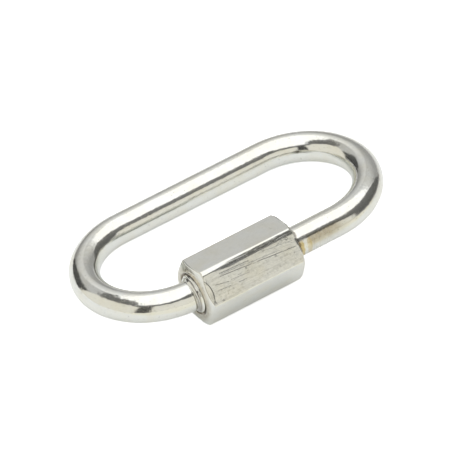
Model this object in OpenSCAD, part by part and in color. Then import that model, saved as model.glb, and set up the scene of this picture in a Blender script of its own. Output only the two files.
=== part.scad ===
// Chain quick link: a round rod bent into a long loop, with a gap in one straight side
// that a hexagonal sleeve nut closes. It lies as it comes to rest on a flat surface:
// on the far straight side of the rod and on the lowest edge of the nut.
// X runs along the link, -Y is the nut's side, Z is up, and the nut is screwed shut.

/* [Link] */
// Diameter of the round rod
rod_d = 3.5; // [2.5:0.1:4]
// Overall length of the link, end to end
link_l = 38; // [34:0.5:60]
// Overall width over the two straight sides, without the nut
link_w = 19.4; // [17:0.1:30]

/* [Gap] */
// Clear gap between the two ends of the rod
gap_w = 3.7; // [2:0.1:5]
// Length of the short end that the closed nut holds
short_end_hold = 1.2; // [0.8:0.1:2]
// Length of the lead-in cone at each end of the rod
rod_lead = 0.4; // [0.2:0.05:0.6]

/* [Nut] */
// Width across the flats of the hexagon
nut_af = 6.8; // [6.4:0.1:10]
// Length of the nut
nut_l = 12.3; // [10:0.1:14]
// Rounding of the edges between the flats
nut_edge_r = 0.25; // [0.1:0.05:0.6]
// Distance of the closed nut from the start of the bend beside it
nut_standoff = 0.1; // [0.1:0.1:1.5]
// Turn of the nut's lowest flat away from lying flat on the surface
nut_turn = 10; // [0:1:29]
// Radial width of the domed turning at the threaded end, from the edges inwards
mouth_dome_w = 0.7; // [0.3:0.05:0.8]
// Radial width of the domed turning at the plain end, from the edges inwards
skirt_dome_w = 0.4; // [0.2:0.05:0.8]
// Radius of both domes, beyond the radius over the nut's edges
dome_over = 1.4; // [1:0.1:4]

/* [Nut bore] */
// Radial clearance between the rod and the threaded stretch of the bore
thread_clearance = 0.05; // [0.02:0.01:0.1]
// Depth of the countersunk mouth at the threaded end
mouth_depth = 0.8; // [0.3:0.05:0.8]
// Height of the rolled thread's crests over the rod
crest_h = 0.25; // [0.15:0.05:0.4]
// Radial clearance between the thread's crests and the counterbore
counterbore_clearance = 0.2; // [0.05:0.05:0.4]

/* [Hidden] */
$fn = 96;
// Steps in each rounded edge of the hexagon
edge_steps = 4;
// Room that a cut takes past the face it starts from
cut_past = 1;

rod_r = rod_d / 2;
bend_r = link_w / 2 - rod_r;
straight_half = link_l / 2 - rod_r - bend_r;
nut_x = -straight_half + nut_standoff;
short_tip_x = nut_x + short_end_hold;
long_tip_x = short_tip_x + gap_w;

// Circle through the centres of the nut's rounded edges
edge_circle_r = (nut_af / 2 - nut_edge_r) / cos(30);
nut_outer_r = edge_circle_r + nut_edge_r;
dome_r = nut_outer_r + dome_over;
bore_r = rod_r + thread_clearance;
mouth_r = bore_r + mouth_depth;
counterbore_r = rod_r + crest_h + counterbore_clearance;
// Way that the nut is screwed back to clear the gap, which is also the counterbore's depth
nut_travel = short_end_hold + gap_w;

// Height of the nut's axis over the surface, and its reach to the front
nut_reach_down = edge_circle_r * cos(30 - nut_turn) + nut_edge_r;
nut_reach_front = edge_circle_r * cos(nut_turn) + nut_edge_r;
// Slope of the resting link, whose nut is thicker than its rod
tilt = asin((nut_reach_down - rod_r) / (2 * bend_r));
centre_y = (nut_reach_front - rod_r) / 2;
centre_z = rod_r + bend_r * sin(tilt);

// Hexagon with rounded corners, with flats at its top and bottom
function rounded_hexagon() = [
    for (corner = [0:5], step = [0:edge_steps])
        let (along = 60 * corner, turn = along - 30 + 60 * step / edge_steps)
            edge_circle_r * [cos(along), sin(along)] + nut_edge_r * [cos(turn), sin(turn)]
];

// Places a shape from the link's own plane into the resting position
module at_rest() {
    translate([0, centre_y, centre_z])
        rotate([-tilt, 0, 0])
            children();
}

// Turns a profile of [radius, distance] points about the X axis
module turned(profile) {
    rotate([0, 90, 0])
        rotate_extrude()
            polygon(profile);
}

// Straight rod end from the origin along +X, with a conical lead at its tip
module rod_end(length) {
    turned([
        [0, 0],
        [rod_r, 0],
        [rod_r, length - rod_lead],
        [rod_r - rod_lead, length],
        [0, length]
    ]);
}

// Half-round bend at the +X end of the link
module bow() {
    translate([straight_half, 0, 0])
        rotate([0, 0, -90])
            rotate_extrude(angle = 180)
                translate([bend_r, 0])
                    circle(r = rod_r);
}

module bent_rod() {
    color("silver")
        at_rest() {
            bow();
            mirror([1, 0, 0])
                bow();
            translate([-straight_half, bend_r, 0])
                rotate([0, 90, 0])
                    cylinder(r = rod_r, h = 2 * straight_half);
            translate([-straight_half, -bend_r, 0])
                rod_end(short_tip_x + straight_half);
            translate([straight_half, -bend_r, 0])
                mirror([1, 0, 0])
                    rod_end(straight_half - long_tip_x);
        }
}

// What the turning of a domed end takes off the hexagon whose end face is at the origin
module end_turning(dome_w) {
    dome_x = sqrt(dome_r ^ 2 - (nut_outer_r - dome_w) ^ 2);
    difference() {
        translate([-cut_past, 0, 0])
            rotate([0, 90, 0])
                cylinder(r = nut_outer_r + dome_over / 2, h = cut_past + dome_x);
        translate([dome_x, 0, 0])
            sphere(r = dome_r);
    }
}

// Space inside the nut: countersunk mouth, threaded stretch, counterbore with a 45 degree step
module nut_bore() {
    counterbore_x = nut_l - nut_travel;
    turned([
        [0, -cut_past],
        [mouth_r, -cut_past],
        [mouth_r, 0],
        [bore_r, mouth_depth],
        [bore_r, counterbore_x - (counterbore_r - bore_r)],
        [counterbore_r, counterbore_x],
        [counterbore_r, nut_l + cut_past],
        [0, nut_l + cut_past]
    ]);
}

module sleeve_nut() {
    color("gainsboro")
        at_rest()
            translate([nut_x, -bend_r, 0])
                rotate([tilt - nut_turn, 0, 0])
                    difference() {
                        rotate([90, 0, 90])
                            linear_extrude(nut_l)
                                polygon(rounded_hexagon());
                        end_turning(mouth_dome_w);
                        translate([nut_l, 0, 0])
                            mirror([1, 0, 0])
                                end_turning(skirt_dome_w);
                        nut_bore();
                    }
}

bent_rod();
sleeve_nut();
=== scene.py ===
"""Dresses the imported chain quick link: a threaded bent rod, a worn sleeve nut and a studio."""

import math

import bmesh
import bpy
from bpy.props import FloatProperty, FloatVectorProperty, IntProperty, PointerProperty
from bpy.types import Operator, Panel, PropertyGroup
from mathutils import Matrix, Vector, noise


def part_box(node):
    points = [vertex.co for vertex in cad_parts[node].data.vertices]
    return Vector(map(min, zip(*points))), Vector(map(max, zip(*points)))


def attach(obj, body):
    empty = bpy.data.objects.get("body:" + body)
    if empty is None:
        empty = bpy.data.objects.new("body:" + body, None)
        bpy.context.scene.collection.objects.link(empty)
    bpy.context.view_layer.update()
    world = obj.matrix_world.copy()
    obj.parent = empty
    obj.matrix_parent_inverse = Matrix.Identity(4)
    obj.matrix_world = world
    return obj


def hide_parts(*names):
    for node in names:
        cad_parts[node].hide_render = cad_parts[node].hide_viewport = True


bl_info = {
    "name": "Chain Quick Link",
    "version": (1, 0, 0),
    "blender": (4, 5, 0),
    "location": "3D View > Sidebar > Quick Link",
    "description": "Makes the threaded rod, the worn sleeve nut and the studio of a chain quick link",
    "category": "Add Mesh",
}

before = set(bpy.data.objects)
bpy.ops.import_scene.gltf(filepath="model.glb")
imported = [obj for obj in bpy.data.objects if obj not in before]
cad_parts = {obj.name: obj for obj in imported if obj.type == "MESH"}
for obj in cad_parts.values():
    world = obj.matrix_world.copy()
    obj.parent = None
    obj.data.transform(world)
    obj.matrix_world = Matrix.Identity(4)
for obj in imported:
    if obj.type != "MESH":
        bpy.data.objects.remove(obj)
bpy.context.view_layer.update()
ROD_LOW, ROD_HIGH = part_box("bent_rod")
MM = 0.001
TAU = 2 * math.pi

# The nut's worn corner, counted from the back over the top to the front, and the direction of the flat
# after it in the nut's cross-section
BUFFED_CORNER = 2
FRONT_NORMAL = math.radians(150)
# Outline of the ground lens on the front flat: its place and half width across the flat, how far it
# reaches from the mouth at its ends and, beyond that, in its middle, and its least length
LENS_MIDDLE, LENS_HALF, LENS_START, LENS_SWELL = 0.3 * MM, 1.45 * MM, 0.5 * MM, 0.48 * MM
LENS_LEAST = 0.4 * MM

# One turn of the thread: its start in shares of the pitch, and where its flank begins and ends on the
# way from the root to the crest
THREAD_START, FLANK_FOOT, FLANK_HEAD = 0.35, 0.2, 0.75
# Rows of faces: in a turn of the thread, in the threaded start of the first bend and in its rest, along
# the far side, round the second bend, and from there to the long end's thread
TURN_ROWS, START_ROWS, FIRST_ROWS, FAR_ROWS, SECOND_ROWS, NEAR_ROWS = 14, 14, 120, 72, 126, 24
# Size of the rod's unevenness, way in which the short thread runs out, and slope of the rod's tips
WANDER_SIZE, RUN_OUT, TIP_SLOPE = 2.5 * MM, 0.5 * MM, 1.2
# Dirt with painted shade beside the collar, in half widths of it: distance from the middle, and reach
FOOT_PLACE, FOOT_REACH = 1.1, 0.4

# The buffed corner: where the fall towards it begins and is full, and where its rounding is finest, in
# shares of the nut's length, and the angles before the front flat between which that fall turns
FALL_FROM, FALL_FULL, FINE_FROM = 0.12, 0.36, 0.7
FALL_START, FALL_STOP = math.radians(13.5), math.radians(4.5)
# Least width of that fall, and width of its foot
FALL_LEAST, FALL_FOOT = 0.02 * MM, 0.1 * MM
# Steps on a corner, on the buffed one's rounding, fall and foot, and on a flat
CORNER_STEPS, BUFF_STEPS, FALL_STEPS, FOOT_STEPS, FLAT_STEPS = 16, 9, 5, 2, 19


def length(name, description, default_mm):
    """A length property, with its default in millimetres."""
    return FloatProperty(
        name=name, description=description, default=default_mm * MM, unit="LENGTH", precision=5
    )


def colour(name, description, default):
    """A colour property without transparency."""
    return FloatVectorProperty(
        name=name, description=description, default=default, subtype="COLOR", size=3, min=0, max=1
    )


def factor(name, description, default):
    """A share from 0 to 1."""
    return FloatProperty(
        name=name, description=description, default=default, subtype="FACTOR", min=0, max=1
    )


class RodSizes(PropertyGroup):
    """Sizes of the bent rod and of the thread on its ends."""

    rod_d: length("Rod diameter", "Diameter of the round rod", 3.5)
    link_l: length("Link length", "Length of the link, end to end", (ROD_HIGH.x - ROD_LOW.x) / MM)
    link_w: length("Link width", "Width over the two straight sides", 19.4)
    gap_w: length("Gap", "Clear gap between the two ends of the rod", 3.7)
    short_hold: length("Short end hold", "Length of the short end in the closed nut", 1.2)
    lead: length("Lead", "Length of the cone at each end of the rod", 0.4)
    pitch: length("Thread pitch", "Way of the nut in one turn", 0.7)
    crest_h: length("Crest height", "Height of the rolled crests over the rod", 0.37)
    root_depth: length("Root depth", "Depth of the thread's roots under the rod", 0.16)
    thread_past: length("Thread past the bend", "Run of the short thread into the bend", 0.55)
    collar_h: length("Collar height", "Height of the thread's last turn over the rod", 0.52)
    collar_in: length("Collar place", "Way from the nut's mouth in to that turn", 0.1)
    collar_w: length("Collar width", "Half the width of that turn", 0.3)
    wander: length("Wander", "Unevenness of the drawn and bent rod", 0.006)
    columns: IntProperty(name="Columns", description="Faces round the rod", default=96)


class NutSizes(PropertyGroup):
    """Sizes of the sleeve nut."""

    across_flats: length("Across flats", "Width of the hexagon over its flats", 6.8)
    nut_l: length("Nut length", "Length of the nut", 12.3)
    edge_r: length("Edge rounding", "Radius of the edges between the flats", 0.25)
    standoff: length("Standoff", "Way from the bend to the closed nut", 0.1)
    turn: FloatProperty(
        name="Turn", description="Turn of the lowest flat", default=math.radians(10), subtype="ANGLE"
    )
    mouth_dome_r: length("Mouth dome", "Radius of the turning at the threaded end", 9.0)
    mouth_face_r: length("Mouth face", "Radius of the end face at the threaded end", 3.05)
    skirt_dome_r: length("Skirt dome", "Radius of the turning at the plain end", 5.287)
    skirt_face_r: length("Skirt face", "Radius of the end face at the plain end", 3.487)
    skirt_round: length("Skirt rounding", "Rounding of the flats at the plain end", 0.14)
    dome_drop: length("Dome drop", "Drop of the mouth dome's centre", 0.55)
    dome_back: length("Dome back", "Way back of that centre", 0.3)
    mouth_r: length("Mouth radius", "Radius of the countersunk mouth", 2.6)
    counterbore_r: length("Counterbore radius", "Radius of the plain stretch inside", 2.2)
    thread_play: length("Thread play", "Room between the two threads", 0.06)
    buff_wide_r: length("Buffed edge, wide", "Rounding of the buffed edge at the mouth", 0.85)
    buff_fine_r: length("Buffed edge, fine", "Rounding of the buffed edge at the skirt", 0.32)
    buff_fall_w: length("Buffed fall", "Width of the front flat's fall to it", 0.44)
    lens_depth: length("Lens depth", "Depth of the ground lens on the front flat", 0.05)


class PlatingColours(PropertyGroup):
    """Colours of the worn nickel plating."""

    nickel: colour("Nickel", "Clean plating", (0.70, 0.703, 0.665))
    nickel_warm: colour("Warm nickel", "Plating that has yellowed", (0.69, 0.68, 0.61))
    amber: colour("Amber", "Stain that creeps out of the nut", (0.53, 0.43, 0.20))
    tarnish: colour("Tarnish", "Tan film on the rod beyond that stain", (0.44, 0.40, 0.31))
    # Dark of the dirt and painted shade: dirt with painted shade beside the nut, in the thread's roots and
    # at the collar's foot, and painted shade inside the nut's mouth
    dirt_and_shade: colour("Grime", "Dirt in the corner beside the nut", (0.13, 0.10, 0.07))
    scratch: colour("Scratch", "Bottom of the scratches", (0.10, 0.10, 0.09))
    rod_gloss: factor("Rod roughness", "Roughness of the rod's plating", 0.13)
    nut_gloss: factor("Nut roughness", "Roughness of the nut's plating", 0.14)


class StageSettings(PropertyGroup):
    """Levels of the studio."""

    lamp: FloatProperty(name="Lamp", description="Radiance of the softbox", default=1.5)
    room: FloatProperty(name="Room", description="Radiance of the pale room", default=0.9)
    floor: factor("Floor", "Paleness of the floor", 0.95)
    lift: FloatProperty(name="Lift", description="Own light of the floor in view", default=0.75)
    mirror_lift: FloatProperty(name="Mirror lift", description="The same in reflections", default=0.265)
    warm: colour("Warm side", "Tint of the room on its left and at the front", (1.0, 0.975, 0.893))
    warm_floor: colour("Warm floor", "Tint of the floor on that side", (1.0, 0.965, 0.84))


class QuickLinkSettings(PropertyGroup):
    """All that a user may change."""

    rod: PointerProperty(type=RodSizes)
    nut: PointerProperty(type=NutSizes)
    colours: PointerProperty(type=PlatingColours)
    stage: PointerProperty(type=StageSettings)


class Layout:
    """Where the pieces lie, worked out from the sizes as in the solid model."""

    def __init__(self, settings):
        rod, nut = settings.rod, settings.nut
        self.rod_r = rod.rod_d / 2
        self.bend_r = rod.link_w / 2 - self.rod_r
        self.straight_half = rod.link_l / 2 - self.rod_r - self.bend_r
        self.nut_x = -self.straight_half + nut.standoff
        self.short_tip = self.nut_x + rod.short_hold
        self.long_tip = self.short_tip + rod.gap_w
        self.travel = rod.short_hold + rod.gap_w
        self.long_thread_end = self.nut_x + nut.nut_l
        edge_circle_r = (nut.across_flats / 2 - nut.edge_r) / math.cos(math.pi / 6)
        reach_down = edge_circle_r * math.cos(math.pi / 6 - nut.turn) + nut.edge_r
        reach_front = edge_circle_r * math.cos(nut.turn) + nut.edge_r
        self.tilt = math.asin((reach_down - self.rod_r) / (2 * self.bend_r))
        centre_y = (reach_front - self.rod_r) / 2
        centre_z = self.rod_r + self.bend_r * math.sin(self.tilt)
        self.at_rest = Matrix.Translation((0, centre_y, centre_z)) @ Matrix.Rotation(-self.tilt, 4, "X")
        self.nut_roll = self.tilt - nut.turn
        self.nut_place = (
            self.at_rest
            @ Matrix.Translation((self.nut_x, -self.bend_r, 0))
            @ Matrix.Rotation(self.nut_roll, 4, "X")
        )
        self.rod, self.nut, self.colours = rod, nut, settings.colours

    def unbent(self, co):
        """A point of the link's plane as (way along the rod, offset inwards, offset up)."""
        x, y, z = co
        half, bend = self.straight_half, self.bend_r
        if x < -half:
            along = bend * math.atan2(-(x + half), -y)
            out = math.hypot(x + half, y)
        elif x > half:
            along = math.pi * bend + 2 * half + bend * math.atan2(x - half, y)
            out = math.hypot(x - half, y)
        elif y > 0:
            along, out = math.pi * bend + x + half, y
        elif x < (self.short_tip + self.long_tip) / 2:
            along, out = -(x + half), -y
        else:
            along, out = TAU * bend + 3 * half - x, -y
        return along, bend - out, z

    def thread_h(self, x, angle):
        """Share of the thread's height at a place along the nut's axis, 0 in a root, 1 on a crest."""
        turn = (x / self.rod.pitch - angle / TAU + THREAD_START) % 1
        return smooth_step(2 * min(turn, 1 - turn), FLANK_FOOT, FLANK_HEAD)

    def rod_thread_r(self, x, angle):
        """Radius of the rod's thread."""
        low, high = self.rod_r - self.rod.root_depth, self.rod_r + self.rod.crest_h
        return low + (high - low) * self.thread_h(x, angle)


def smooth_step(value, start, end):
    """0 before start, 1 past end, and an even rise between them."""
    share = min(max((value - start) / (end - start), 0), 1)
    return share * share * (3 - 2 * share)


def mix(a, b, share):
    """A value between two others."""
    return a + (b - a) * share


def course(start, end, steps):
    """Evenly spaced stations from start, which isn't among them, to end."""
    return [mix(start, end, (i + 1) / steps) for i in range(steps)]


def add_mesh(name, bm, material):
    """Makes a finished mesh an object of the scene."""
    mesh = bpy.data.meshes.new(name)
    bm.normal_update()
    bm.to_mesh(mesh)
    bm.free()
    mesh.materials.append(material)
    item = bpy.data.objects.new(name, mesh)
    bpy.context.scene.collection.objects.link(item)
    return item


def add_piece(name, bm, body, node, material):
    """Makes a mesh a piece of the link, on its CAD body and in its node's place."""
    piece = add_mesh(name, bm, material)
    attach(piece, body)
    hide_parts(node)


def shade(bm, sharp_from):
    """Smooth shading, with sharp edges where the faces turn by more than an angle."""
    for face in bm.faces:
        face.smooth = True
    for edge in bm.edges:
        edge.smooth = len(edge.link_faces) == 2 and edge.calc_face_angle(0) < sharp_from


def extend(bm, edges, move):
    """Draws a ring of edges out by a move, and gives the new ring's edges."""
    made = bmesh.ops.extrude_edge_only(bm, edges=edges)["geom"]
    verts = [g for g in made if isinstance(g, bmesh.types.BMVert)]
    bmesh.ops.translate(bm, vec=move, verts=verts)
    ring = set(verts)
    return [g for g in made if isinstance(g, bmesh.types.BMEdge) and ring.issuperset(g.verts)]


def bow(bm, edges, centre_x, turn, steps):
    """Turns a ring of edges round a bend's centre, and gives the last ring's edges."""
    made = bmesh.ops.spin(
        bm, geom=edges, cent=(centre_x, 0, 0), axis=(0, 0, 1), angle=turn, steps=steps
    )["geom_last"]
    return [g for g in made if isinstance(g, bmesh.types.BMEdge)]


def bent_rod_mesh(layout):
    """The rod, from the short end's tip round the loop to the long end's tip."""
    rod, half, bend = layout.rod, layout.straight_half, layout.bend_r
    row = rod.pitch / TURN_ROWS
    bm = bmesh.new()
    bmesh.ops.create_circle(
        bm,
        cap_ends=True,
        segments=rod.columns,
        radius=layout.rod_r,
        matrix=Matrix.Translation((layout.short_tip, -bend, 0)) @ Matrix.Rotation(math.pi / 2, 4, "Y"),
    )
    ring = list(bm.edges)

    def straight(ring, start, end, rows):
        for _ in range(rows):
            ring = extend(bm, ring, ((end - start) / rows, 0, 0))
        return ring

    ring = straight(ring, layout.short_tip, -half, round((layout.short_tip + half) / row))
    thread_turn = (rod.thread_past + row) / bend
    ring = bow(bm, ring, -half, -thread_turn, START_ROWS)
    ring = bow(bm, ring, -half, thread_turn - math.pi, FIRST_ROWS)
    ring = straight(ring, -half, half, FAR_ROWS)
    ring = bow(bm, ring, half, -math.pi, SECOND_ROWS)
    ring = straight(ring, half, layout.long_thread_end, NEAR_ROWS)
    thread_l = layout.long_thread_end - layout.long_tip
    ring = straight(ring, layout.long_thread_end, layout.long_tip, round(thread_l / row))
    bmesh.ops.contextual_create(bm, geom=ring)
    bmesh.ops.recalc_face_normals(bm, faces=bm.faces)

    layer = bm.verts.layers.float_vector.new("unbent")
    # Painted shade with dirt in the thread's roots and at the collar's foot, as a share on each vertex
    groove_shade_and_dirt = bm.verts.layers.float.new("groove_shade_and_dirt")
    for vert in bm.verts:
        along, inwards, up = layout.unbent(vert.co)
        vert[layer] = (along, inwards, up)
        radius, vert[groove_shade_and_dirt] = rod_radius(layout, vert.co, along, math.atan2(up, inwards))
        out = vert.co - centre_line(layout, vert.co)
        vert.co += out * (radius / out.length - 1)
    shade(bm, sharp_from=math.radians(50))
    bmesh.ops.transform(bm, matrix=layout.at_rest, verts=bm.verts)
    return bm


def centre_line(layout, co):
    """The nearest point of the rod's centre line."""
    x = min(max(co.x, -layout.straight_half), layout.straight_half)
    out = Vector((co.x - x, co.y, 0))
    return Vector((x, 0, 0)) + out * (layout.bend_r / out.length)


def rod_radius(layout, co, along, angle):
    """Radius of the rod at a point, with its thread, collar and tips, and the share of dirt with painted
    shade there.
    """
    rod = layout.rod
    plain = layout.rod_r + rod.wander * noise.noise(co / WANDER_SIZE)
    if co.y > 0:
        return plain, 0
    collar = foot = 0
    if along < layout.bend_r + layout.straight_half:
        axis_x = -layout.straight_half - along
        tip = layout.short_tip - axis_x
        fade = 1 - smooth_step(along, rod.thread_past - RUN_OUT, rod.thread_past)
        off = (axis_x - layout.nut_x - rod.collar_in) / rod.collar_w
        if abs(off) < 1:
            collar = layout.rod_r + rod.collar_h * math.sqrt(1 - off * off)
        foot = max(1 - abs(abs(off) - FOOT_PLACE) / FOOT_REACH, 0)
    else:
        axis_x = co.x
        tip = axis_x - layout.long_tip
        fade = 1 - smooth_step(axis_x, layout.long_thread_end - rod.pitch, layout.long_thread_end)
    radius = max(mix(plain, layout.rod_thread_r(axis_x, angle), fade), collar)
    # Painted shade with dirt in the thread's roots, fading out where the thread runs out
    groove_shade_and_dirt = fade * (1 - smooth_step(radius, layout.rod_r, layout.rod_r + 0.6 * rod.crest_h))
    return min(radius, layout.rod_r - rod.lead + TIP_SLOPE * max(tip, 0)), max(groove_shade_and_dirt, foot)


def arc(start, end, way, steps):
    """An even bend between two directions, as stops (direction, way from the stop before)."""
    return [(stop, way / steps) for stop in course(start, end, steps)]


def nut_outline(layout, share):
    """The nut's outline as points (back, up), at a share of the way from mouth to skirt."""
    nut = layout.nut
    corner_reach = nut.across_flats / 2 / math.cos(math.pi / 6)
    fall = FALL_LEAST + nut.buff_fall_w * smooth_step(share, FALL_FROM, FALL_FULL)
    buff_r = mix(nut.buff_wide_r, nut.buff_fine_r, smooth_step(share, 0, FINE_FROM))
    corners = []
    for corner in range(6):
        middle = corner * math.pi / 3
        first, last = middle - math.pi / 6, middle + math.pi / 6
        if corner == BUFFED_CORNER:
            soft, low = last - FALL_START, last - FALL_STOP
            stops = arc(first, soft, buff_r * (soft - first), BUFF_STEPS)
            stops += arc(soft, low, fall, FALL_STEPS) + arc(low, last, FALL_FOOT, FOOT_STEPS)
        else:
            stops = arc(first, last, nut.edge_r * (last - first), CORNER_STEPS)
        points, normal = [Vector((0, 0))], first
        for stop, way in stops:
            mid = (normal + stop) / 2
            points.append(points[-1] + way * Vector((-math.sin(mid), math.cos(mid))))
            normal = stop
        before = Vector((-math.sin(first), math.cos(first)))
        after = Vector((-math.sin(last), math.cos(last)))
        run = points[-1].cross(after) / before.cross(after)
        start = corner_reach * Vector((math.cos(middle), math.sin(middle))) - run * before
        corners.append([start + p for p in points])
    outline = []
    for here, there in zip(corners, corners[1:] + corners[:1]):
        outline += here
        for i in range(1, FLAT_STEPS):
            outline.append(here[-1].lerp(there[0], (1 - math.cos(math.pi * i / FLAT_STEPS)) / 2))
    return outline


def rounded(line):
    """A closed line of (point, reach), with each corner that has a reach rounded off in four steps."""
    points = []
    for i, (point, reach) in enumerate(line):
        if not reach:
            points.append(point)
            continue
        back, ahead = line[i - 1][0] - point, line[(i + 1) % len(line)][0] - point
        start = point + back * min(reach / max(back.length, 1e-9), 0.45)
        end = point + ahead * min(reach / max(ahead.length, 1e-9), 0.45)
        for step in range(5):
            t = step / 4
            points.append(start * (1 - t) ** 2 + point * (2 * t * (1 - t)) + end * t * t)
    return points


def on_ray(way, x, radius):
    """A point at a distance along the nut's axis, and at a radius in a direction round it."""
    return Vector((x, way.x * radius, way.y * radius))


class NutSurface:
    """The nut's surface in its own axes: round the axis, columns of (point, reach of its rounding)."""

    STATIONS = 24
    # The mouth's turned end: its least depth at the flats, the depth below which it counts as flat, the
    # least width of that flat, the steps in which its rim is looked for, and the rows beyond it
    TURNED, FLAT, FACE_W, LOOK = 0.05 * MM, 0.005 * MM, 0.1 * MM, 0.01 * MM
    TURNED_ROWS = (0.2, 0.4, 0.56, 0.7)
    # Rows of the lens: share of its length, share of its depth, and rounding in mm
    LENS_ROWS = (
        (0, 1, 0.13), (0.4, 0.65, 0), (0.65, 0.35, 0), (0.86, 0.15, 0),
        (0.9, 0.8, 0), (0.95, 0.8, 0), (1, 0, 0),
    )
    # Rows along the flats, round the skirt's edge and in a turn of the bore's thread, and how far the
    # flats' first row lies from the lens and their last one from the skirt's turning
    FLAT_ROWS, SKIRT_ROWS, BORE_ROWS = 24, 5, 12
    AFTER_LENS, BEFORE_SKIRT = 0.05 * MM, 0.15 * MM
    # Slack in finding the front flat, and the bore's last row before the mouth
    SLACK, LAST_ROW = 0.02 * MM, 0.12 * MM
    # Rounding of the mouth, of its face and of the skirt, and the chamfer inside the skirt
    MOUTH_REACH, FACE_REACH, SKIRT_REACH, CHAMFER = 0.07 * MM, 0.06 * MM, 0.05 * MM, 0.15 * MM

    def __init__(self, layout):
        self.layout = layout
        self.nut = layout.nut
        self.outlines = [nut_outline(layout, i / self.STATIONS) for i in range(self.STATIONS + 1)]
        self.columns = len(self.outlines[0])
        self.mouth_dome = math.sqrt(self.nut.mouth_dome_r ** 2 - self.nut.mouth_face_r ** 2)
        self.skirt_dome = math.sqrt(self.nut.skirt_dome_r ** 2 - self.nut.skirt_face_r ** 2)

    def outer(self, column, x):
        """Point of the outline at a distance from the mouth's end."""
        place = min(max(x / self.nut.nut_l, 0), 1) * self.STATIONS
        low = min(int(place), self.STATIONS - 1)
        return self.outlines[low][column].lerp(self.outlines[low + 1][column], place - low)

    def on_flat(self, column, x):
        """Point of the surface at a distance from the mouth's end, on a flat or an edge."""
        return Vector((x, *self.outer(column, x)))

    def mouth_x(self, spot):
        """How far in the turned mouth end lies at a point of the cross-section."""
        off = spot - Vector((self.nut.dome_back, -self.nut.dome_drop))
        return self.mouth_dome - math.sqrt(max(self.nut.mouth_dome_r ** 2 - off.length_squared, 0))

    def skirt_x(self, spot):
        """How far in the turned skirt end lies at a point of the cross-section."""
        return self.skirt_dome - math.sqrt(self.nut.skirt_dome_r ** 2 - spot.length_squared)

    def bore_r(self, x, angle):
        """Radius inside: countersunk mouth, thread, step and counterbore."""
        nut, layout = self.nut, self.layout
        thread = layout.rod_thread_r(layout.nut_x + x, angle + layout.nut_roll) + nut.thread_play
        step_x = nut.nut_l - layout.travel
        step = nut.counterbore_r + x - step_x
        return max(min(nut.counterbore_r, step), nut.mouth_r - x, thread if x < step_x else 0)

    def mouth_part(self, spot, way):
        """The turned end, from the countersunk mouth out to where the flats begin."""
        nut, rim = self.nut, spot.length
        face = rim - self.TURNED
        while self.mouth_x(way * face) > self.FLAT and face > nut.mouth_r + self.FACE_W:
            face -= self.LOOK
        line = [(on_ray(way, 0, nut.mouth_r), self.MOUTH_REACH)]
        line.append((on_ray(way, 0, face), self.FACE_REACH))
        for share in self.TURNED_ROWS:
            radius = mix(face, rim, share)
            x = max(self.mouth_x(way * radius), self.TURNED * share)
            line.append((on_ray(way, x, radius), 0))
        return line

    def lens_part(self, column, spot):
        """The start of the flats, where the ground lens lies, and its distance from the mouth's end."""
        nut = self.nut
        crease = max(self.mouth_x(spot), self.TURNED)
        normal = Vector((math.cos(FRONT_NORMAL), math.sin(FRONT_NORMAL)))
        across = -spot.x * normal.y + spot.y * normal.x
        bulge = max(1 - ((across - LENS_MIDDLE) / LENS_HALF) ** 2, 0)
        lens = max(LENS_START + LENS_SWELL * bulge, crease + LENS_LEAST)
        on_front = spot.dot(normal) > nut.across_flats / 2 - self.SLACK
        inwards = -(nut.lens_depth * bulge if on_front else 0) * Vector((0, *normal))
        line = [
            (self.on_flat(column, mix(crease, lens, share)) + inwards * dip, reach * MM)
            for share, dip, reach in self.LENS_ROWS
        ]
        return line, lens

    def skirt_part(self, column, way, start):
        """The rest of the flats, and the turned end with the counterbore's edge."""
        nut, full = self.nut, self.nut.nut_l
        end = self.outer(column, full)
        crease = full - max(self.skirt_x(end), nut.skirt_round)
        rows = [start, *course(start, crease - self.BEFORE_SKIRT, self.FLAT_ROWS)]
        line = [(self.on_flat(column, x), 0) for x in rows]
        line.append((Vector((crease, *end)), 0))
        face = min(nut.skirt_face_r, end.length - nut.skirt_round)
        for i in range(1, self.SKIRT_ROWS):
            turn = math.pi / 2 * i / self.SKIRT_ROWS
            radius = mix(face, end.length, math.cos(turn))
            drop = nut.skirt_round * (1 - math.sin(turn))
            line.append((on_ray(way, full - max(self.skirt_x(way * radius), drop), radius), 0))
        return line + [
            (on_ray(way, full, face), self.SKIRT_REACH),
            (on_ray(way, full, nut.counterbore_r + self.CHAMFER), self.SKIRT_REACH),
            (on_ray(way, full - self.CHAMFER, nut.counterbore_r), 0),
        ]

    def bore_part(self, way):
        """The counterbore, its step and the thread, back to the mouth."""
        step_x = self.nut.nut_l - self.layout.travel
        angle = math.atan2(way.y, way.x)
        line = [(on_ray(way, step_x, self.nut.counterbore_r), 0)]
        rows = round((step_x - self.LAST_ROW / 2) / (self.layout.rod.pitch / self.BORE_ROWS))
        for x in course(step_x, self.LAST_ROW, rows):
            line.append((on_ray(way, x, self.bore_r(x, angle)), 0))
        return line

    def column_line(self, column):
        """One column's closed line, from the mouth over the outside and back through the bore."""
        spot = self.outer(column, 0)
        way = spot / spot.length
        lens_part, lens = self.lens_part(column, spot)
        skirt_part = self.skirt_part(column, way, lens + self.AFTER_LENS)
        return rounded(self.mouth_part(spot, way) + lens_part + skirt_part + self.bore_part(way))


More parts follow.
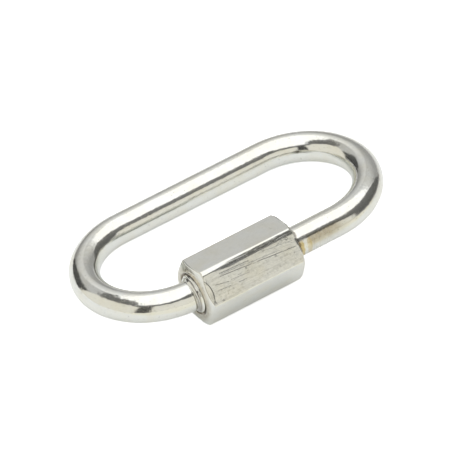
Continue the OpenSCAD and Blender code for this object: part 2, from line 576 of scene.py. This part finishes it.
def sleeve_nut_mesh(layout):
    """The nut: a ring drawn out over its end, its flats and its bore until it closes."""
    surface = NutSurface(layout)
    lines = [surface.column_line(column) for column in range(surface.columns)]
    bm = bmesh.new()
    bmesh.ops.create_circle(bm, segments=surface.columns, radius=layout.nut.mouth_r)
    first = ring = list(bm.edges)
    verts = list(bm.verts)
    for row in range(len(lines[0])):
        if row:
            ring = extend(bm, ring, (0, 0, 0))
            new = {vert for edge in ring for vert in edge.verts}
            verts = [next(o for e in v.link_edges if (o := e.other_vert(v)) in new) for v in verts]
        for vert, line in zip(verts, lines):
            vert.co = line[row]
    bmesh.ops.bridge_loops(bm, edges=first + ring)
    bmesh.ops.recalc_face_normals(bm, faces=bm.faces)
    shade(bm, sharp_from=math.radians(40))
    bmesh.ops.transform(bm, matrix=layout.nut_place, verts=bm.verts)
    return bm


class Paint:
    """The nodes of a material or of the world: adds them and wires them."""

    def __init__(self, name, kind="materials"):
        self.owner = getattr(bpy.data, kind).new(name)
        self.owner.use_nodes = True
        self.nodes = self.owner.node_tree.nodes
        self.links = self.owner.node_tree.links

    def add(self, kind, output=0, settings=None, **inputs):
        """Adds a node, sets or links its inputs by name, and gives one of its outputs."""
        node = self.nodes.new("ShaderNode" + kind)
        for key, value in (settings or {}).items():
            setattr(node, key, value)
        self.wire(node, inputs)
        return node.outputs[output]

    def wire(self, node, inputs):
        """Sets or links a node's inputs by name."""
        for key, value in inputs.items():
            self.put(node.inputs[key.replace("_", " ")], value)

    def put(self, socket, value):
        """Links an output to a socket, or sets its value."""
        if isinstance(value, bpy.types.NodeSocket):
            self.links.new(value, socket)
        else:
            socket.default_value = value

    def sum(self, operation, *values, kind="Math", output=0, clamp=False):
        """A Math or VectorMath node."""
        node = self.nodes.new("ShaderNode" + kind)
        node.operation = operation
        if clamp:
            node.use_clamp = True
        for socket, value in zip(node.inputs, values):
            self.put(socket, value)
        return node.outputs[output]

    def measure(self, operation, *vectors):
        """A number worked out from vectors."""
        return self.sum(operation, *vectors, kind="VectorMath", output=1)

    def times(self, product, *others):
        """The product of several values."""
        for value in others:
            product = self.sum("MULTIPLY", product, value)
        return product

    def off(self, value, place):
        """The distance between two values."""
        return self.sum("ABSOLUTE", self.sum("SUBTRACT", value, place))

    def radius(self, *sides):
        """The length of two sides at right angles."""
        return self.sum("SQRT", self.sum("ADD", *(self.times(side, side) for side in sides)))

    def parts(self, vector):
        """The three parts of a vector."""
        return [self.add("SeparateXYZ", output=i, Vector=vector) for i in range(3)]

    def ramp(self, value, low, high, start=0.0, end=1.0, curve="SMOOTHSTEP"):
        """A Map Range from low and high to start and end."""
        node = self.nodes.new("ShaderNodeMapRange")
        node.interpolation_type = curve
        for socket, number in zip(node.inputs, (value, low, high, start, end)):
            self.put(socket, number)
        return node.outputs["Result"]

    def edge(self, value, none, full, most=1.0):
        """0 at one distance, and most at another, both in mm."""
        return self.ramp(value, none * MM, full * MM, 0, most)

    def blend(self, share, first, second):
        """A mix of two colours."""
        node = self.nodes.new("ShaderNodeMix")
        node.data_type = "RGBA"
        for i, value in ((0, share), (6, first), (7, second)):
            linked = isinstance(value, bpy.types.NodeSocket)
            self.put(node.inputs[i], value if linked else (*value, 1))
        return node.outputs[2]

    def place(self, vector, scale, location=(0, 0, 0), rotation=(0, 0, 0)):
        """A Mapping node."""
        return self.add("Mapping", Vector=vector, Scale=scale, Location=location, Rotation=rotation)

    def cloud(self, vector, scale, detail=2.0, roughness=0.5):
        """A Noise texture's value."""
        return self.add("TexNoise", Vector=vector, Scale=scale, Detail=detail, Roughness=roughness)

    def bumps(self, *layers):
        """Bump nodes over one another, each of a height, a distance in mm and a strength."""
        under = {}
        for height, way, strength in layers:
            under["Normal"] = self.add("Bump", Height=height, Distance=way * MM, Strength=strength, **under)
        return under["Normal"]

    def finish(self, shader="Principled BSDF", **inputs):
        """Sets or links the shader's inputs, and gives what is painted."""
        self.wire(self.nodes[shader], inputs)
        return self.owner


# Rings that the nut and the chain have rubbed round the rod, in mm from the nut's end
RUB_RINGS = (2.4, 3.1, 4.0, 4.5)
# The stain on the rod beside the nut: the side it hangs on, how far its edges waver, and where the
# dirt with painted shade in the corner at the nut's end, the seep, the tan film and the amber band are
# none and full, in mm from the nut's end and, for the band, from its place
STAIN_SIDE = (0, -0.77, -0.64)
STAIN_WAVER, SHADE_AND_DIRT_WAVER = 0.9, 0.4
SHADE_AND_DIRT, SEEP, FILM_START, FILM_END = (1.08, 0.86), (1.3, 1.1), (1.6, 2.0), (7.5, 4.6)
BAND_PLACE, BAND = 1.85, (0.34, 0.16)
# Where the seep's side and the film's two edges are none and full, in shares of the rod's radius
SEEP_SIDE, FILM_TOP, FILM_LOW = (0.05, 0.35), (-0.05, 0.12), (1.0, 0.45)


def rod_plating(layout):
    """Bright nickel on drawn wire: lines along the rod, faint clouds, a stain beside the nut, and dirt with
    painted shade in the corner at the nut, in the thread's roots and at the collar's foot.
    """
    colours = layout.colours
    paint = Paint("rod_plating")
    unbent = paint.add("Attribute", output=1, settings={"attribute_name": "unbent"})
    groove_shade_and_dirt = paint.add("Attribute", output=2, settings={"attribute_name": "groove_shade_and_dirt"})
    spot = paint.add("TexCoord", output=3)
    lines = paint.cloud(paint.place(unbent, (0.05, 1, 1)), 9000, 3.0, 0.6)
    clouds = paint.cloud(spot, 420, 3.0)
    specks = paint.ramp(paint.cloud(spot, 5200, 1.0), 0.70, 0.78)
    tone = paint.blend(paint.ramp(clouds, 0.35, 0.75), colours.nickel, colours.nickel_warm)

    axis = layout.at_rest @ Vector((layout.long_thread_end, -layout.bend_r, 0))
    beside = paint.place(spot, (1, 1, 1), -axis)
    x, y, _ = paint.parts(beside)
    down = paint.measure("DOT_PRODUCT", beside, STAIN_SIDE)
    seep_side, film_top, film_low = (
        paint.ramp(down, none * layout.rod_r, full * layout.rod_r)
        for none, full in (SEEP_SIDE, FILM_TOP, FILM_LOW)
    )
    near = paint.times(paint.edge(y, 4, 3), paint.edge(x, -0.3, 0))
    low_side = paint.times(near, seep_side)
    creep = paint.sum("MULTIPLY_ADD", paint.cloud(spot, 1300, 2.0), STAIN_WAVER * MM, x)
    creep = paint.sum("SUBTRACT", creep, STAIN_WAVER / 2 * MM)
    patches = paint.ramp(paint.cloud(spot, 2400, 2.0), 0.3, 0.65, 0.8, 1.0)
    film = paint.times(paint.edge(creep, *FILM_START), paint.edge(creep, *FILM_END), patches)
    tone = paint.blend(paint.times(film, near, film_top, film_low), tone, colours.tarnish)
    band = paint.edge(paint.off(creep, BAND_PLACE * MM), *BAND, 0.5)
    stain = paint.sum("MAXIMUM", band, paint.edge(creep, *SEEP, 0.9))
    tone = paint.blend(paint.times(low_side, stain), tone, colours.amber)
    # Dirt with painted shade: dark in the corner where the rod meets the nut's end, and in the thread's
    # roots and at the collar's foot
    corner = paint.sum("MULTIPLY_ADD", paint.cloud(spot, 1700, 2.0), SHADE_AND_DIRT_WAVER * MM, x)
    dirt_and_shade = paint.times(near, paint.edge(corner, *SHADE_AND_DIRT, 0.8))
    dirt_and_shade = paint.sum("MAXIMUM", dirt_and_shade, paint.times(groove_shade_and_dirt, 0.7))
    tone = paint.blend(dirt_and_shade, tone, colours.dirt_and_shade)
    tone = paint.blend(paint.times(specks, 0.5), tone, colours.scratch)

    rough = paint.ramp(lines, 0.3, 0.8, 0.6 * colours.rod_gloss, 1.6 * colours.rod_gloss)
    grain = paint.ramp(paint.cloud(spot, 5200, 0.0), 0.5, 0.68, 0, 0.08)
    grain = paint.times(grain, paint.ramp(clouds, 0.4, 0.6, 0.3, 1))
    for place in RUB_RINGS:
        ring = paint.edge(paint.off(x, place * MM), 0.07, 0.02, 0.25)
        grain = paint.sum("MAXIMUM", grain, paint.times(low_side, ring))
    rough = paint.sum("ADD", rough, grain)
    peel = paint.cloud(spot, 2700, 0.0)
    normal = paint.bumps((lines, 0.003, 0.4), (peel, 0.008, 1.0), (clouds, 0.05, 0.15))
    return paint.finish(Metallic=1, Base_Color=tone, Roughness=rough, Normal=normal)


# Scratches on the front flat, in mm: start from the mouth, length, place across, slope, width, depth
SCRATCHES = (
    (2.25, 9.8, -0.85, 0.088, 0.055, 0.9),
    (2.40, 3.9, -1.14, 0.042, 0.055, 0.9),
    (2.60, 3.2, -1.00, 0.050, 0.040, 0.7),
    (1.50, 1.7, -0.23, 0.190, 0.045, 0.55),
    (1.47, 1.8, 0.48, 0.060, 0.045, 0.6),
    (4.17, 1.1, 0.64, 0.050, 0.045, 0.6),
    (5.80, 4.2, -0.74, 0.075, 0.035, 0.7),
    (8.60, 3.2, -1.10, 0.110, 0.035, 0.7),
    (3.40, 2.4, 0.02, 0.080, 0.035, 0.5),
    (9.70, 1.3, -0.95, -0.450, 0.035, 0.7),
    (10.30, 1.2, -1.00, -0.420, 0.030, 0.6),
    (10.70, 1.2, -1.25, 0.250, 0.030, 0.6),
    (11.00, 0.9, -0.90, 0.500, 0.030, 0.5),
)
# Small dents there, in mm: place from the mouth, place across, radius
DENTS = (
    (8.23, -1.26, 0.13), (9.29, -0.03, 0.10), (11.21, -1.19, 0.14), (1.71, 1.68, 0.08),
    (5.60, -0.35, 0.09),
)
# Scuffs along its lower edge, in mm: where they are none and full across it, at the top and at the
# bottom, and from the mouth, and the turn of their hatching
SCUFF_TOP, SCUFF_LOW, SCUFF_START = (-1.35, -1.5), (-1.95, -1.85), (2.5, 5.0)
HATCH_TURN = math.radians(12)
# Waver of the scratches, and the distance from the nut's axis where these marks are none and full
SCRATCH_WAVER, ON_FRONT = 0.05, (3.1, 3.3)


def front_flat_marks(paint, on_flat):
    """Where the front flat is scratched, scuffed and dented, from 0 to 1."""
    along, side, out = paint.parts(on_flat)
    across = paint.times(side, -1.0)
    waver = paint.cloud(paint.place(on_flat, (1, 0.05, 0.05)), 1400, 3.0)
    gaps = paint.ramp(paint.cloud(paint.place(on_flat, (1, 3, 3)), 1100, 2.0), 0.25, 0.42)
    total = 0.0
    for start, run, place, slope, width, depth in SCRATCHES:
        line = paint.sum("MULTIPLY_ADD", along, slope, (place - slope * start) * MM)
        line = paint.sum("MULTIPLY_ADD", waver, SCRATCH_WAVER * MM, line)
        mark = paint.edge(paint.off(across, line), width, 0.3 * width, depth)
        ends = paint.edge(paint.off(along, (start + run / 2) * MM), run / 2, 0.42 * run)
        total = paint.sum("MAXIMUM", total, paint.times(mark, ends))
    hatch = paint.cloud(paint.place(on_flat, (0.2, 1, 1), rotation=(0, 0, HATCH_TURN)), 5200, 2.0)
    scuff = paint.times(paint.edge(across, *SCUFF_TOP), paint.edge(across, *SCUFF_LOW))
    scuff = paint.times(scuff, paint.edge(along, *SCUFF_START), paint.ramp(hatch, 0.38, 0.62, 0.15, 0.75))
    total = paint.sum("MAXIMUM", paint.times(total, gaps), scuff)
    for place, beside, radius in DENTS:
        far = paint.radius(paint.off(along, place * MM), paint.off(across, beside * MM))
        total = paint.sum("MAXIMUM", total, paint.edge(paint.off(far, radius * MM), 0.05, 0.02, 0.45))
    return paint.times(total, paint.edge(out, *ON_FRONT))


def lens_edge(paint, on_flat):
    """The dark rim of the ground lens on the front flat, and the lens itself, from 0 to 1."""
    along, side, out = paint.parts(on_flat)
    aside = paint.sum("DIVIDE", paint.sum("ADD", side, LENS_MIDDLE), LENS_HALF)
    bulge = paint.sum("SUBTRACT", 1.0, paint.times(aside, aside), clamp=True)
    past = paint.sum("SUBTRACT", along, paint.sum("MULTIPLY_ADD", bulge, LENS_SWELL, LENS_START))
    there = paint.times(paint.edge(out, *ON_FRONT), paint.ramp(bulge, 0.0, 0.3))
    rim = paint.edge(paint.sum("ABSOLUTE", past), 0.07, 0.02)
    return paint.times(rim, there), paint.times(paint.edge(past, 0, -0.1), there)


def nut_plating(layout):
    """Nickel on a drawn hexagon: lines along the nut, scratches on its front flat, small pits, and painted
    shade inside the mouth.
    """
    colours, mouth_r = layout.colours, layout.nut.mouth_r / MM
    paint = Paint("nut_plating")
    spot = paint.add("TexCoord", output=3)
    turn = math.pi / 2 - (FRONT_NORMAL + layout.nut_roll - layout.tilt)
    mouth = Matrix.Rotation(turn, 3, "X") @ layout.nut_place.to_translation()
    on_flat = paint.place(spot, (1, 1, 1), location=-mouth, rotation=(turn, 0, 0))
    depth, *aside = paint.parts(on_flat)
    lines = paint.cloud(paint.place(on_flat, (0.04, 1, 1)), 7000, 3.0, 0.6)
    hairs = paint.ramp(paint.cloud(paint.place(on_flat, (0.05, 1, 1)), 16000, 1.0), 0.70, 0.80)
    clouds = paint.cloud(spot, 500, 3.0)
    mottle = paint.cloud(spot, 2600, 3.0, 0.6)
    pits = paint.ramp(paint.cloud(spot, 4200, 1.0), 0.68, 0.76)
    rim, lens = lens_edge(paint, on_flat)
    marks = paint.sum("MAXIMUM", front_flat_marks(paint, on_flat), paint.times(hairs, 0.35))
    marks = paint.sum("MAXIMUM", marks, paint.times(rim, 0.7))

    front = paint.ramp(aside[1], 3.25 * MM, 3.38 * MM, 0.3, 1)
    front = paint.times(front, paint.sum("MULTIPLY_ADD", lens, -0.8, 1.0))
    tone = paint.blend(paint.ramp(clouds, 0.35, 0.75), colours.nickel, colours.nickel_warm)
    tone = paint.blend(paint.times(lens, 0.6), tone, colours.nickel_warm)
    worn = paint.times(front, paint.ramp(mottle, 0.45, 0.8, 0, 0.19))
    for dark in (worn, paint.times(pits, front, 0.3), marks):
        tone = paint.blend(dark, tone, colours.scratch)
    radius = paint.radius(*aside)
    film = paint.times(paint.edge(radius, mouth_r + 1.0, mouth_r + 0.1), paint.edge(depth, 0.6, 0.1))
    film = paint.times(film, paint.ramp(mottle, 0.3, 0.7, 0.5, 1.0))
    tone = paint.blend(film, tone, colours.tarnish)
    # Painted shade inside the mouth, in the dark colour of dirt and shade
    inside = paint.edge(radius, mouth_r + 0.03, mouth_r - 0.08, 0.75)
    tone = paint.blend(paint.times(inside, paint.edge(depth, 0, 0.1)), tone, colours.dirt_and_shade)

    rough = paint.ramp(lines, 0.3, 0.8, 0.7 * colours.nut_gloss, 1.5 * colours.nut_gloss)
    rough = paint.sum("MULTIPLY_ADD", marks, 0.25, rough)
    peel, cuts = paint.times(mottle, front), paint.times(marks, -1.0)
    normal = paint.bumps((lines, 0.004, 0.4), (peel, 0.008, 0.4), (clouds, 0.05, 0.06), (cuts, 0.02, 0.6))
    return paint.finish(Metallic=1, Base_Color=tone, Roughness=rough, Normal=normal)


def glowing_sheet(name, foot, head, low=0.0, high=1.0):
    """A matt sheet that glows at a foot and a head level, between two heights: the softbox's lamp, and on
    the cards and the canopy painted light in place of light falling on them.
    """
    paint = Paint(name)
    level = foot
    if head != foot:
        height = paint.add("SeparateXYZ", output=2, Vector=paint.add("TexCoord", output=3))
        level = paint.ramp(height, low, high, foot, head, curve="LINEAR")
    return paint.finish(
        Base_Color=(0.05, 0.05, 0.05, 1), Roughness=0.9, Specular_IOR_Level=0,
        Emission_Color=(1, 1, 1, 1), Emission_Strength=level,
    )


def add_stage_mesh(name, bm, material, seen=False):
    """Makes a mesh an object of the studio, which the camera sees only where asked."""
    item = add_mesh(name, bm, material)
    item.visible_camera = seen


def side_share(paint, place, side, start, end):
    """1 on one side of the set, 0 on the other."""
    angle = math.radians(side)
    towards = paint.measure("DOT_PRODUCT", place, (math.sin(angle), -math.cos(angle), 0))
    return paint.ramp(towards, start, end)


def dim_share(paint, place, layout):
    """1 on the floor far out on the dark side, and under the nut as a painted shadow, where mirrors show it
    darker.
    """
    far = paint.ramp(paint.measure("LENGTH", place), *FAR_FLOOR, curve="LINEAR")
    far = paint.times(far, side_share(paint, place, DARK_SIDE, *DARK_EDGE))
    half_l = layout.nut.nut_l / 2
    middle = layout.nut_place @ Vector((half_l, 0, 0))
    x, y, _ = paint.parts(place)
    ends = [half_l + past for past in UNDER_ENDS]
    under = paint.ramp(paint.off(x, middle.x), *ends, curve="LINEAR")
    under = paint.times(under, paint.ramp(paint.off(y, middle.y), *UNDER_SIDES, curve="LINEAR"))
    return paint.sum("MAXIMUM", far, under)


def ray_levels(paint, level, seen, mirrored):
    """A level of light, raised for the camera and in mirrors, and the kinds of ray."""
    path = paint.nodes.new("ShaderNodeLightPath").outputs
    for kind, more in (("Camera", seen), ("Glossy", mirrored), ("Transmission", mirrored)):
        level = paint.sum("MULTIPLY_ADD", path[f"Is {kind} Ray"], more, level)
    return level, path


def floor_paint(stage, layout):
    """White floor that keeps shadows, lifted to white where it is seen, with a painted shadow under the nut
    that only mirrors show.
    """
    paint = Paint("floor_paint")
    lift, path = ray_levels(paint, 0, stage.lift, stage.mirror_lift)
    place = paint.add("TexCoord", output=3)
    # Painted shadow under the nut, and a darker far floor on the dark side: the floor's glow in mirrors is
    # taken away there
    dim = paint.times(dim_share(paint, place, layout), path["Is Glossy Ray"])
    side = side_share(paint, place, 0, *WARM_FLOOR)
    warm = [stage.floor * part for part in stage.warm_floor]
    return paint.finish(
        Roughness=1, Specular_IOR_Level=0,
        Base_Color=paint.blend(side, [stage.floor] * 3, warm),
        Emission_Color=paint.blend(path["Is Camera Ray"], COOL, WHITE),
        Emission_Strength=paint.sum("MULTIPLY_ADD", dim, -stage.mirror_lift, lift),
    )


def room_light(stage):
    """A pale room, white where it is seen, with a warm side."""
    paint = Paint("room", "worlds")
    level, path = ray_levels(paint, stage.room, 1 - stage.room, 1 - stage.room)
    side = side_share(paint, paint.add("TexCoord"), WARM_SIDE, *WARM_EDGE)
    tint = paint.blend(path["Is Camera Ray"], paint.blend(side, WHITE, stage.warm), WHITE)
    return paint.finish("Background", Color=tint, Strength=level)


# Directions are in degrees round the link, with the front at 0 and +X at 90, and up from the floor
WARM_SIDE = -55
DARK_SIDE = 110
# Where those sides of the room and of the floor are none and full
WARM_EDGE, WARM_FLOOR, DARK_EDGE = (-0.35, 0.2), (11.5 * MM, 17 * MM), (-5 * MM, 8 * MM)
# The same for the far floor, and for the painted shadow on the floor under the nut: past its ends, and from
# its middle line
FAR_FLOOR, UNDER_ENDS, UNDER_SIDES = (24 * MM, 52 * MM), (0.5 * MM, -2.5 * MM), (3.7 * MM, 1.3 * MM)
# Tint of what the floor gives back in shadow
COOL = (0.90, 0.96, 1.0)
WHITE = (1, 1, 1)
# Cards round the set: name, lower and upper edge as (start, end, height), distance, levels of their
# painted glow at foot and head, and the heights in metres between which the level changes
CARDS = (
    ("flag_right_low", (41, 104, -1), (40, 104, 22), 1.34, 0.10, 0.13, 0.1, 0.5),
    ("flag_right", (42, 105, 20), (-15, 84, 60), 1.36, 0.12, 0.21, 0.4, 1.4),
    ("flag_foot", (41, 102, -1), (41, 102, 4), 0.066, 0.28, 0.28, 0.0, 1.0),
    ("flag_rear_left", (182, 220.3, -1), (186, 220.8, 26), 1.2, 0.04, 0.08, 0.1, 0.5),
    ("fall_rear", (165, 185, -1), (165, 189, 25), 1.22, 0.33, 0.66, 0.24, 0.54),
    ("wall_rear_left", (180, 222, 24.5), (176, 222, 48), 1.25, 0.62, 0.64, 0.6, 1.2),
    ("flag_left", (-61, -41.5, -1), (-61.5, -43, 46), 1.36, 0.03, 0.04, 0.1, 1.0),
    ("wall_rear", (152, 180, -1), (152, 180, 52), 1.32, 0.50, 1.12, 0.33, 1.25),
    ("wall_right", (104, 152, -1), (104, 152, 52), 1.3, 0.40, 0.92, 0.4, 1.25),
)
# Half the floor's width, heights of the softbox and of the dark canopy over it, and the canopy's level of
# painted glow
FLOOR_HALF, SOFTBOX_HEIGHT, CANOPY_HEIGHT, CANOPY_LEVEL = 6, 0.8, 0.82, 0.16
# Rims of those two: direction round the link, and height in degrees
SOFTBOX_RIM = (
    (-180, 50), (-168, 55), (-156, 58), (-144, 64), (-130, 67), (-108, 67), (-96, 66), (-84, 63),
    (-74, 54), (-60, 51), (-36, 51), (-12, 53), (0, 55), (24, 57), (36, 56), (48, 53), (60, 49),
    (72, 45), (84, 40), (96, 38), (120, 43), (150, 45), (168, 46), (180, 50),
)
CANOPY_RIM = (
    (-180, 45), (-168, 47), (-156, 46), (-144, 42), (-130, 40), (-120, 47), (-96, 48), (-84, 48),
    (-72, 43), (-60, 40), (0, 39), (14, 35), (20, 36), (30, 70), (165, 70), (178, 46), (180, 45),
)
# The camera as fitted to the photo's outline: direction and roll, distance from the link's middle, focal
# length and sensor width, and shift
AZIMUTH, ELEVATION, ROLL = (math.radians(v) for v in (-24.523, 36.713, -11.716))
DISTANCE, FOCAL, SENSOR, SHIFT = 0.5588, 402.9, 36, (-0.0015, -0.0018)


def add_card(name, low, high, distance, *levels):
    """A curved card that stands round the set."""
    bm = bmesh.new()
    bmesh.ops.create_grid(bm, x_segments=24, y_segments=8, size=1)
    for vert in bm.verts:
        along, up = (vert.co.x + 1) / 2, (vert.co.y + 1) / 2
        start, end, height = (math.radians(mix(a, b, up)) for a, b in zip(low, high))
        angle = mix(start, end, along)
        vert.co = distance * Vector((math.sin(angle), -math.cos(angle), math.tan(height)))
    add_stage_mesh(name, bm, glowing_sheet(name, *levels))


def add_canopy(name, rim, height, level):
    """A level sheet over the set, cut to a rim of directions."""
    bm = bmesh.new()
    bmesh.ops.create_circle(bm, cap_ends=True, segments=180, radius=1)
    for vert in bm.verts:
        angle = math.degrees(math.atan2(vert.co.x, -vert.co.y))
        for (start, low), (end, high) in zip(rim, rim[1:]):
            if start <= angle <= end:
                tall = math.radians(mix(low, high, (angle - start) / (end - start)))
                vert.co *= height / math.tan(tall)
                break
    bmesh.ops.triangulate(bm, faces=bm.faces)
    bmesh.ops.translate(bm, vec=(0, 0, height), verts=bm.verts)
    add_stage_mesh(name, bm, glowing_sheet(name, level, level))


def add_camera(layout):
    """The camera, where the photograph was taken from."""
    back = Vector((
        math.sin(AZIMUTH) * math.cos(ELEVATION),
        -math.cos(AZIMUTH) * math.cos(ELEVATION),
        math.sin(ELEVATION),
    ))
    right = (-back).cross(Vector((0, 0, 1))).normalized()
    up = right.cross(-back)
    across = right * math.cos(ROLL) + up * math.sin(ROLL)
    upright = up * math.cos(ROLL) - right * math.sin(ROLL)
    turn = Matrix((across, upright, back)).transposed().to_4x4()
    camera = bpy.data.cameras.new("camera")
    camera.sensor_width = SENSOR
    camera.lens = FOCAL
    camera.shift_x, camera.shift_y = SHIFT
    camera.clip_start, camera.clip_end = 0.01, 20
    item = bpy.data.objects.new("camera", camera)
    item.matrix_world = layout.at_rest @ Matrix.Translation(back * DISTANCE) @ turn
    bpy.context.scene.collection.objects.link(item)
    bpy.context.scene.camera = item


class QUICKLINK_OT_bent_rod(Operator):
    """Make the bent rod with its threads"""

    bl_idname = "quicklink.bent_rod"
    bl_label = "Bent Rod"

    def execute(self, context):
        layout = Layout(context.scene.quick_link)
        plating = rod_plating(layout)
        add_piece("rod", bent_rod_mesh(layout), "link", "bent_rod", plating)
        return {"FINISHED"}


class QUICKLINK_OT_sleeve_nut(Operator):
    """Make the sleeve nut with its bore and thread"""

    bl_idname = "quicklink.sleeve_nut"
    bl_label = "Sleeve Nut"

    def execute(self, context):
        layout = Layout(context.scene.quick_link)
        plating = nut_plating(layout)
        add_piece("nut", sleeve_nut_mesh(layout), "nut", "sleeve_nut", plating)
        return {"FINISHED"}


class QUICKLINK_OT_stage(Operator):
    """Set up the floor, the softbox, the cards and the camera"""

    bl_idname = "quicklink.stage"
    bl_label = "Stage"

    def execute(self, context):
        scene = context.scene
        stage, layout = scene.quick_link.stage, Layout(scene.quick_link)
        bm = bmesh.new()
        bmesh.ops.create_grid(bm, x_segments=1, y_segments=1, size=FLOOR_HALF)
        add_stage_mesh("floor", bm, floor_paint(stage, layout), seen=True)
        for card in CARDS:
            add_card(*card)
        add_canopy("softbox", SOFTBOX_RIM, SOFTBOX_HEIGHT, stage.lamp)
        add_canopy("canopy", CANOPY_RIM, CANOPY_HEIGHT, CANOPY_LEVEL)
        scene.world = room_light(stage)
        scene.view_settings.view_transform = "Standard"
        add_camera(layout)
        return {"FINISHED"}


class QUICKLINK_PT_panel(Panel):
    """Lists what the add-on makes and the values it works from"""

    bl_label = "Quick Link"
    bl_idname = "QUICKLINK_PT_panel"
    bl_space_type = "VIEW_3D"
    bl_region_type = "UI"
    bl_category = "Quick Link"

    def draw(self, context):
        settings = context.scene.quick_link
        for title, group, operator in (
            ("Rod", settings.rod, QUICKLINK_OT_bent_rod),
            ("Nut", settings.nut, QUICKLINK_OT_sleeve_nut),
            ("Plating", settings.colours, None),
            ("Stage", settings.stage, QUICKLINK_OT_stage),
        ):
            box = self.layout.box()
            box.label(text=title)
            for key in group.__annotations__:
                box.prop(group, key)
            if operator:
                box.operator(operator.bl_idname)


CLASSES = (
    RodSizes, NutSizes, PlatingColours, StageSettings, QuickLinkSettings,
    QUICKLINK_OT_bent_rod, QUICKLINK_OT_sleeve_nut, QUICKLINK_OT_stage, QUICKLINK_PT_panel,
)


def register():
    for cls in CLASSES:
        bpy.utils.register_class(cls)
    bpy.types.Scene.quick_link = PointerProperty(type=QuickLinkSettings)


def unregister():
    del bpy.types.Scene.quick_link
    for cls in reversed(CLASSES):
        bpy.utils.unregister_class(cls)


def main():
    register()
    bpy.ops.quicklink.bent_rod()
    bpy.ops.quicklink.sleeve_nut()
    bpy.ops.quicklink.stage()


if __name__ == "__main__":
    main()
